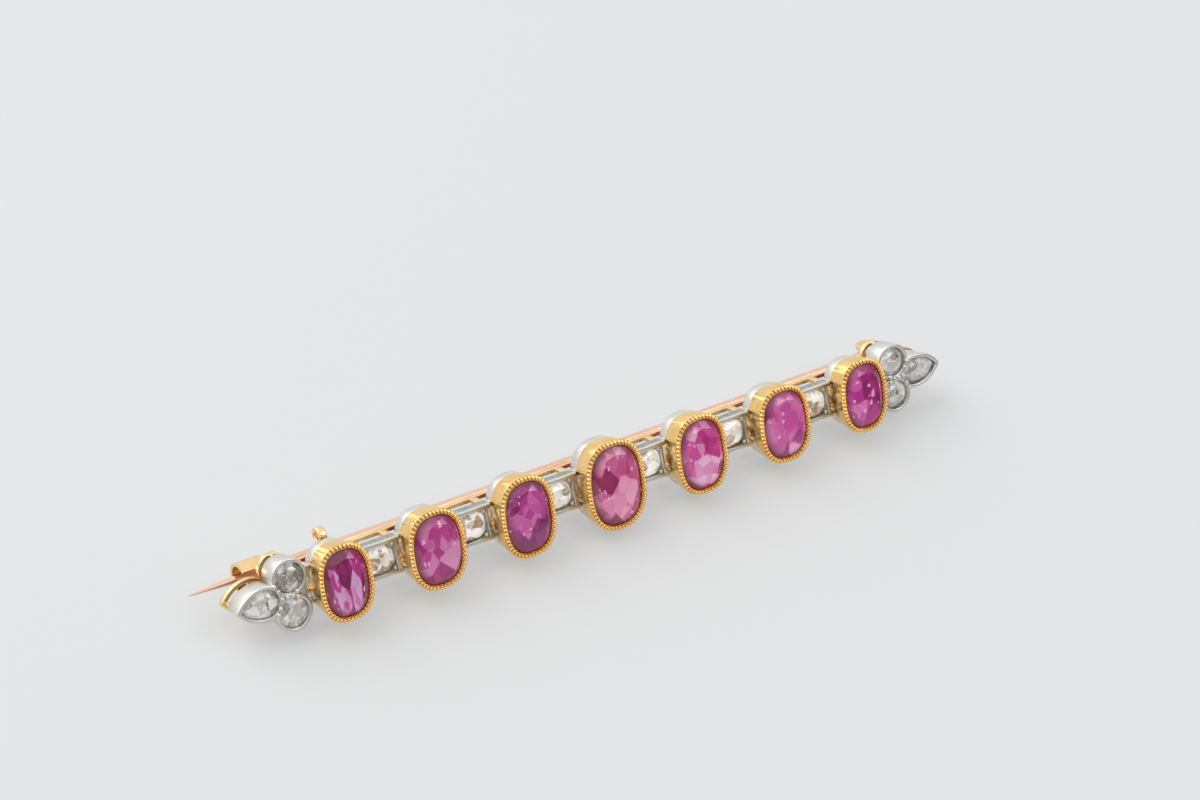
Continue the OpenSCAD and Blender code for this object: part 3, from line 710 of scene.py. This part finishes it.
# Gold collets
def collet(i):
    half_w, half_h = half_size(i)
    edge = cushion(half_w, half_h)
    bore, seat = LIP_COVER + STONE_GAP, LIP_COVER - SEAT
    wall = band(edge, [
        (RIM_W, -RIM_SLOPE),
        (LEDGE_OUT, -LEDGE_D),
        (LEDGE_IN, -LEDGE_D),
        (LIP_SLOPE, -LIP_T),
        (0, -LIP_T),
        (bore, STONE_GAP - GIRDLE_TOP),
        (bore, -GIRDLE_LOW - STONE_GAP),
        (seat, -GIRDLE_LOW - STONE_GAP - SEAT),
        (tail_off(TAIL_BACK) - COLLET_WALL, -TAIL_BACK),
        (RIM_W - drawn_in(TAIL_BACK), -TAIL_BACK),
    ], RUBY_SIDES)
    # room for the white ring, which leaves a cheek in each of its windows
    past = TAIL_BACK + SEAM
    room = band(edge, [
        (2 * RIM_W, -COLLET_D),
        (tail_off(COLLET_D), -COLLET_D),
        (tail_off(past), -past),
        (2 * RIM_W, -past),
    ], RUBY_SIDES)
    high = WINDOW - SEAM
    cut_with(room, block((-2 * half_w, -high, -2 * past), (2 * half_w, high, 0), 0))
    cut_with(wall, room)
    round_edges(wall, SOFT["collet"], limit=25)
    beads = dots([(x, y, BEAD_Z, turn) for x, y, turn in along(edge, BEAD_OFF, BEAD_PITCH)], BEAD)
    piece = join([wall, beads])
    piece.location.x = ruby_x(i)
    return piece


for i in PLACES:
    number = ruby_number(i)
    settle(collet(i), "beaded_collet_%d" % number, YELLOW_GOLD,
           "collet_%d" % number, smooth=40)
    dress(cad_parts["ruby_%d" % number], ruby_finish(i))


# White mount: rings, boxes and clusters
def ring(i):
    half_w, half_h = half_size(i)
    front_out = RIM_W - drawn_in(RING_FRONT)
    back_out = RIM_W - drawn_in(RING_BACK)
    wall = band(cushion(half_w, half_h), [
        (front_out, -RING_FRONT),
        (front_out - RING_WALL, -RING_FRONT),
        (back_out - RING_WALL, -RING_BACK),
        (back_out, -RING_BACK),
    ], RUBY_SIDES)
    round_edges(wall, SOFT["ring"], limit=40, segments=3)
    cut_with(wall, block((-2 * half_w, -WINDOW, -BOX_BACK), (2 * half_w, WINDOW, 0), 0))
    wall.location.x = ruby_x(i)
    return wall


def box(i):
    start, end, middle, room = box_room(i)
    stone_h, stone_w = BOX_H - 2 * PLATE_T - 2 * BOX_PLAY, room - 2 * BOX_PLAY
    parts = []
    for side in (-1, 1):
        y = side * (BOX_H - PLATE_T) / 2
        low, high = y - PLATE_T / 2, y + PLATE_T / 2
        parts.append(block((ruby_x(i) + into_ring(i), low, -BOX_BACK),
                           (ruby_x(i + 1) - into_ring(i + 1), high, -RING_FRONT)))
        parts.append(block((start + SEAM, low, -BOX_BACK), (end - SEAM, high, -BOX_FRONT),
                           SOFT["box"]))
        x = middle + side * (room + CROSS_T) / 2
        parts.append(block(
            (x - CROSS_T / 2, -BOX_H / 2 + CROSS_SHORT, -BOX_BACK),
            (x + CROSS_T / 2, BOX_H / 2 - CROSS_SHORT, -BOX_FRONT - CROSS_LOW)))
    seat = BOX_FRONT + SINK + DIAMOND_GIRDLE + DIAMOND_SEAT + SEAM
    parts.append(flat_band(cushion(stone_w / 2, stone_h / 2, SEAT_SQUARE), BOX_PLAY + SEAT_REACH,
                           -DIAMOND_SEAT, -seat, -BOX_BACK, SEAT_SIDES, centre=(middle, 0)))
    # four grains hold the stone at its corners
    grain_x, grain_y = stone_w / 2 - GRAIN_IN, stone_h / 2 - GRAIN_IN
    parts.append(dots([(middle + sx * grain_x, sy * grain_y, -BOX_FRONT - SINK + GRAIN_UP, 0)
                       for sx in (-1, 1) for sy in (-1, 1)], [BOX_GRAIN] * 3))
    return join(parts)


def setting(outline):
    """A collet of the cluster: polished rim, straight bore, seat and open back."""
    front = CLUSTER_RIM + STONE_GAP
    seat = CLUSTER_FRONT + SINK + DIAMOND_GIRDLE + DIAMOND_SEAT
    wall = band(outline, [
        (front, -CLUSTER_FRONT - OUTER_SLOPE[1]),
        (front - OUTER_SLOPE[0], -CLUSTER_FRONT),
        (STONE_GAP + INNER_SLOPE[0], -CLUSTER_FRONT),
        (STONE_GAP, -CLUSTER_FRONT - INNER_SLOPE[1]),
        (STONE_GAP, -seat),
        (-DIAMOND_SEAT, -seat),
        (-DIAMOND_SEAT, -CLUSTER_BACK),
        (front - CLUSTER_IN, -CLUSTER_BACK),
    ], SETTING_SIDES)
    round_edges(wall, SOFT["setting"], limit=35)
    return wall


def cluster():
    parts = []
    for outline, x, y in ((disc(ROUND_R), ROUND_X, ROUND_SPREAD),
                          (disc(ROUND_R), ROUND_X, -ROUND_SPREAD), (pear, PEAR_X, 0)):
        parts.append(setting(outline))
        parts[-1].location = (x, y, 0)
    start, end = ruby_x(LAST) + into_ring(LAST), ROUND_X - ROUND_R - STONE_GAP - CLUSTER_RIM / 2
    for side in (-1, 1):
        y = side * ROUND_SPREAD
        parts.append(block((start, y - LINK_T / 2, -BOX_BACK), (end, y + LINK_T / 2, -RING_FRONT)))
    x = ROUND_X - ROUND_OUT
    parts.append(block((x - CROSS_T / 2, -ROUND_SPREAD, -BOX_BACK),
                       (x + CROSS_T / 2, ROUND_SPREAD, -RING_FRONT)))
    # grains where the three stones meet and round their rims
    z = -CLUSTER_FRONT - GRAIN_SINK
    spots = [(ROUND_X + x, 0, z, 0) for x in MIDDLE_GRAINS]
    spots += [(ROUND_X + x, side * y, z, 0) for side in (-1, 1) for x, y in PAIRED_GRAINS]
    parts.append(dots(spots, [CLUSTER_GRAIN] * 3))
    return join(parts)


def settle_white(piece, name):
    settle(piece, name, WHITE_METAL, "white_mount")


settle_white(join([ring(i) for i in PLACES]), "mount_rings")
settle_white(join([box(i) for i in BOXES]), "diamond_boxes")
right_cluster = cluster()
left_cluster = mirrored(right_cluster)
settle_white(right_cluster, "right_cluster")
settle_white(left_cluster, "left_cluster")
for node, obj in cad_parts.items():
    if node.startswith("box_diamond"):
        dress(obj, BOX_DIAMOND)
    elif node.endswith("_diamond"):
        dress(obj, CLUSTER_DIAMOND)


# Gold back
def gallery():
    parts = []
    for side in (-1, 1):
        y = side * (GALLERY_H - BAR_W) / 2
        low, high = y - BAR_W / 2, y + BAR_W / 2
        end = ROUND_X - ROUND_OUT / 2
        parts.append(block((-end, low, -GALLERY_BACK), (end, high, -GALLERY_FRONT), SOFT["bar"]))
        for i in BOXES:
            _, _, middle, room = box_room(i)
            for end in (-1, 1):
                x = middle + end * (room + CROSS_T) / 2
                parts.append(block((x - STRUT_W / 2, low, -GALLERY_FRONT - STRUT_SINK),
                                   (x + STRUT_W / 2, high, -BOX_BACK - SEAM), SOFT["strut"]))
    return join(parts)


def flat_frame(outline, off, sides):
    """A flat frame as thick as the gallery, with its outer edge off the outline."""
    flat = flat_band(outline, off, off - BAR_W, -GALLERY_FRONT, -GALLERY_BACK, sides)
    round_edges(flat, SOFT["frame"], limit=40, segments=3)
    return flat


def cluster_frame():
    parts = []
    for side in (-1, 1):
        parts.append(flat_frame(disc(FRAME_OUT), 0, ROUND_SIDES))
        parts[-1].location = (ROUND_X, side * ROUND_SPREAD, 0)
    parts.append(flat_frame(pear, CLUSTER_RIM, SETTING_SIDES))
    parts[-1].location = (PEAR_X, 0, 0)
    # a post from each frame up to its setting
    post_y = ROUND_SPREAD + FRAME_OUT - BAR_W / 2
    for x, y in ((ROUND_X, -post_y), (ROUND_X, post_y),
                 (PEAR_X + pear(0, CLUSTER_RIM - BAR_W)[0], 0)):
        parts.append(post((x, y, -GALLERY_FRONT - GALLERY_T / 2), (x, y, -CLUSTER_BACK - SEAM),
                          POST_R))
    return join(parts)


def ears():
    """The hinge's two ears on their foot, each with a hole for the rivet."""
    foot_z = -GALLERY_BACK + FOOT_SINK - FOOT_T
    parts = [block((HINGE_X - EAR_R, STEM_Y - EAR_OUT, foot_z),
                   (HINGE_X + EAR_R, STEM_Y + EAR_OUT, foot_z + FOOT_T), SOFT["foot"])]
    hole = RIVET_R + RIVET_PLAY / 2

    def ear_edge(turn, off):
        # inside the outline is the hole; the outline is round over the rivet, square at the foot
        c, s = math.cos(math.radians(turn)), math.sin(math.radians(turn))
        if off < 0:
            return hole * c, hole * s
        if s <= 0:
            return EAR_R * c, EAR_R * s
        reach = STEM_DEPTH + foot_z + FOOT_T / 2
        stretch = min(EAR_R / max(abs(c), TINY), reach / max(abs(s), TINY))
        return stretch * c, stretch * s

    for side in (-1, 1):
        plate = flat_band(ear_edge, 0, -1, EAR_T / 2, -EAR_T / 2, ROUND_SIDES)
        round_edges(plate, SOFT["ear"], limit=50)
        spot = (HINGE_X, STEM_Y + side * (EAR_IN + EAR_T / 2), -STEM_DEPTH)
        plate.matrix_world = Matrix.Translation(spot) @ Matrix.Rotation(math.pi / 2, 4, "X")
        parts.append(plate)
    return join(parts)


def catch():
    """A strip of gold curled round behind the pin: an arc of a tube, with a foot up to the
    gallery."""
    deselect_all()
    low_y = STEM_Y - CATCH_R
    bpy.ops.mesh.primitive_plane_add(size=1, location=(CATCH_X, low_y + CATCH_T / 2, -CATCH_DEPTH))
    strip = bpy.context.object
    strip.scale = (CATCH_L, CATCH_T, 1)
    fix_place()
    start_edit()
    bpy.ops.mesh.spin(steps=CATCH_STEPS, angle=math.radians(90 + 180 - LIP_ANGLE),
                      center=(0, STEM_Y, -CATCH_DEPTH), axis=(-1, 0, 0))
    close_mesh()
    foot = GALLERY_BACK - FOOT_SINK
    start, end = CATCH_X - CATCH_L / 2, CATCH_X + CATCH_L / 2
    return join([
        strip,
        block((start, low_y, -CATCH_DEPTH), (end, low_y + CATCH_T, -foot), SOFT["catch"]),
        block((start, low_y, -foot - FOOT_T), (end, low_y + CATCH_R + CATCH_T, -foot),
              SOFT["catch"])])


def safety_loop():
    """The loop on the upper gallery bar: an eye across the bar, and a neck down to the bar."""
    eye = flat_band(disc(LOOP_R), LOOP_W, 0, LOOP_T / 2, -LOOP_T / 2, ROUND_SIDES)
    round_edges(eye, SOFT["loop"], limit=40, segments=4)
    z = -GALLERY_FRONT - GALLERY_T / 2
    eye.matrix_world = (Matrix.Translation((LOOP_X, LOOP_Y, z))
                        @ Matrix.Rotation(math.pi / 2, 4, "Y"))
    neck = block((LOOP_X - LOOP_T / 2, GALLERY_H / 2 + SEAM, z - GALLERY_T / 2),
                 (LOOP_X + LOOP_T / 2, LOOP_Y - LOOP_R - NECK_END, z + GALLERY_T / 2),
                 SOFT["neck"])
    return join([eye, neck])


def settle_back(piece, name, node="gold_back"):
    settle(piece, name, BACK_GOLD, node)


settle_back(gallery(), "gallery")
right_frame = cluster_frame()
left_frame = mirrored(right_frame)
settle_back(right_frame, "right_cluster_frame")
settle_back(left_frame, "left_cluster_frame")
settle_back(ears(), "hinge_ears")
settle_back(catch(), "catch")
settle_back(safety_loop(), "chain_loop", "safety_loop")
dress(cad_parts["hinge_rivet"], BACK_GOLD)
dress(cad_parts["pin_stem"], ROSE_GOLD)

# Table: light from above also comes back through the cloth, which keeps the shadows pale
TABLE_SIZE = 6
TABLE_TONE, TABLE_ROUGH = (0.29, 0.295, 0.30, 1), 0.9
TABLE_LIGHT, TABLE_GLOW = (0.98, 0.99, 1, 1), 0.37

deselect_all()
bpy.ops.mesh.primitive_plane_add(size=TABLE_SIZE, location=(0, 0, 0))
table = bpy.context.object
table.name = "table"
cloth, _, surface = new_finish("pale table")
surface.inputs["Base Color"].default_value = TABLE_TONE
surface.inputs["Roughness"].default_value = TABLE_ROUGH
surface.inputs["Emission Color"].default_value = TABLE_LIGHT
surface.inputs["Emission Strength"].default_value = TABLE_GLOW
dress(table, cloth)

# Lamps, all aimed at the brooch: name, place, width and height in metres, watts, colour
LAMPS = [("window", (-0.28, 0.35, 0.5), (0.6, 0.5), 3.0, (1, 0.99, 0.97)),
         ("low strip behind", (-0.32, 0.8, 0.17), (0.7, 0.3), 0.45, (1, 0.98, 0.94)),
         ("fill", (0.35, -0.35, 0.45), (0.4, 0.4), 0.8, (1, 0.99, 0.98))]
for name, spot, size, watts, colour in LAMPS:
    lamp = bpy.data.lights.new(name, "AREA")
    lamp.shape, lamp.size, lamp.size_y = "RECTANGLE", *size
    lamp.energy, lamp.color = watts, colour
    lamp_object = bpy.data.objects.new(name, lamp)
    bpy.context.scene.collection.objects.link(lamp_object)
    lamp_object.location = spot
    lamp_object.rotation_euler = (-Vector(spot)).to_track_quat("-Z", "Y").to_euler()

# World: bright above and behind the brooch, darker low in front of it. Its dark tone is at a
# height of 0 in the bright direction, and its bright tone from SKY_BRIGHT_AT on
SKY_STRENGTH, SKY_DIRECTION = 0.95, (-0.25, 0.55, 1)
SKY_DARK, SKY_BRIGHT, SKY_BRIGHT_AT = (0.32, 0.30, 0.28, 1), (1, 1, 1, 1), 0.45

world = bpy.data.worlds.new("studio")
bpy.context.scene.world = world
world.use_nodes = True
sky = world.node_tree
looked_at = add_node(sky, "ShaderNodeTexCoord")
height = add_node(sky, "ShaderNodeVectorMath", {
    0: looked_at.outputs["Generated"], 1: SKY_DIRECTION}, operation="DOT_PRODUCT")
shade = add_node(sky, "ShaderNodeValToRGB", {"Fac": height.outputs["Value"]})
dark_stop, bright_stop = shade.color_ramp.elements
dark_stop.position, dark_stop.color = 0, SKY_DARK
bright_stop.position, bright_stop.color = SKY_BRIGHT_AT, SKY_BRIGHT
sky.nodes["Background"].inputs["Strength"].default_value = SKY_STRENGTH
sky.links.new(shade.outputs["Color"], sky.nodes["Background"].inputs["Color"])

# Camera: place in metres, turn in degrees, lens and sensor in millimetres, nearest and farthest
CAMERA_PLACE, CAMERA_TURN = (-0.1131424, -0.1424905, 0.1635886), (49.543, -6.1129, -33.2761)
LENS, SENSOR, NEAREST, FARTHEST = 104.28, 36, 0.01, 20

camera_data = bpy.data.cameras.new("camera")
camera_data.lens, camera_data.sensor_width = LENS, SENSOR
camera_data.clip_start, camera_data.clip_end = NEAREST, FARTHEST
camera = bpy.data.objects.new("camera", camera_data)
bpy.context.scene.collection.objects.link(camera)
camera.location = CAMERA_PLACE
camera.rotation_euler = tuple(math.radians(a) for a in CAMERA_TURN)
bpy.context.scene.camera = camera
bpy.context.scene.view_settings.view_transform = "Standard"
